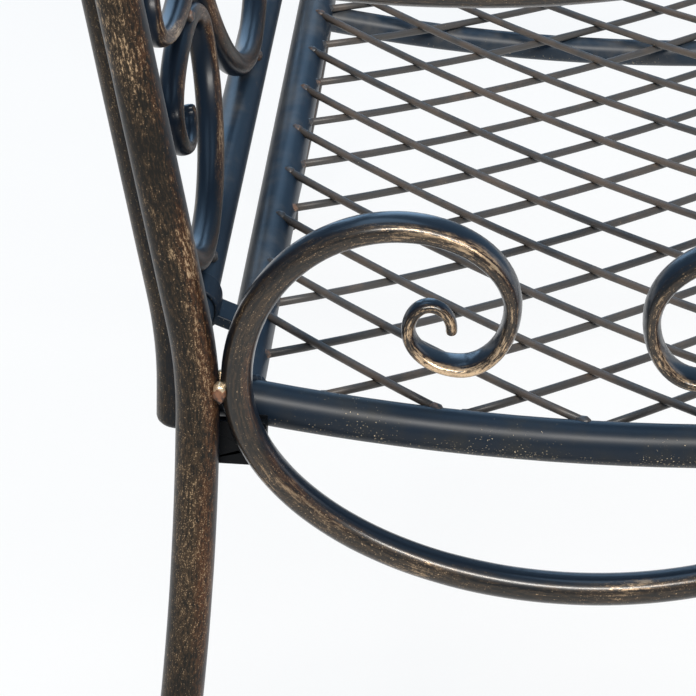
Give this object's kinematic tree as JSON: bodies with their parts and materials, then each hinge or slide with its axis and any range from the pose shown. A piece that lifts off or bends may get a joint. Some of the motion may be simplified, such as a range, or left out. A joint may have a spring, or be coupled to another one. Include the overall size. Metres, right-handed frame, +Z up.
{
  "type": "garden bench",
  "caption": "Metal garden bench with scrolled side frames, a dished seat of crossed diagonal rods, an arched scrollwork back and curled armrests.",
  "frame": {"origin": "on the floor, under the middle of the bench's box", "axes": "+X along the bench, -Y towards the front, +Z up"},
  "size_m": [1.083, 0.5636, 0.8818],
  "materials": {
    "bronze_paint": "dark brown paint, brushed with bronze highlights",
    "seat_paint": "satin blue-black paint",
    "rod_paint": "satin dark grey paint",
    "weld_bronze": "weld filler rubbed with bronze paint",
    "dark_fasteners": "blackened steel",
    "glide_plastic": "black moulded plastic"
  },
  "bodies": {
    "root": {"left_rear_leg": "bronze_paint", "left_front_leg": "bronze_paint", "left_side_scroll": "bronze_paint", "left_armrest": "bronze_paint", "right_rear_leg": "bronze_paint", "right_front_leg": "bronze_paint", "right_side_scroll": "bronze_paint", "right_armrest": "bronze_paint", "back_hoop": "bronze_paint", "back_stile_caps": "bronze_paint", "back_left_scroll": "bronze_paint", "back_right_scroll": "bronze_paint", "back_centre_left_scroll": "bronze_paint", "back_centre_right_scroll": "bronze_paint", "back_spacers": "bronze_paint", "seat_left_tube": "seat_paint", "seat_right_tube": "seat_paint", "seat_rear_tube": "seat_paint", "seat_front_tube": "seat_paint", "seat_tube_plugs": "seat_paint", "seat_centre_support": "seat_paint", "seat_tabs": "seat_paint", "left_leg_lugs": "seat_paint", "right_leg_lugs": "seat_paint", "back_bottom_rail": "seat_paint", "back_clips": "seat_paint", "seat_rods_lower": "rod_paint", "seat_rods_upper": "rod_paint", "left_weld_beads": "weld_bronze", "right_weld_beads": "weld_bronze", "back_weld_beads": "weld_bronze", "seat_bolts": "dark_fasteners", "seat_washers": "dark_fasteners", "back_screws": "dark_fasteners", "back_washers": "dark_fasteners", "foot_glides": "glide_plastic"}
  },
  "joints": []
}
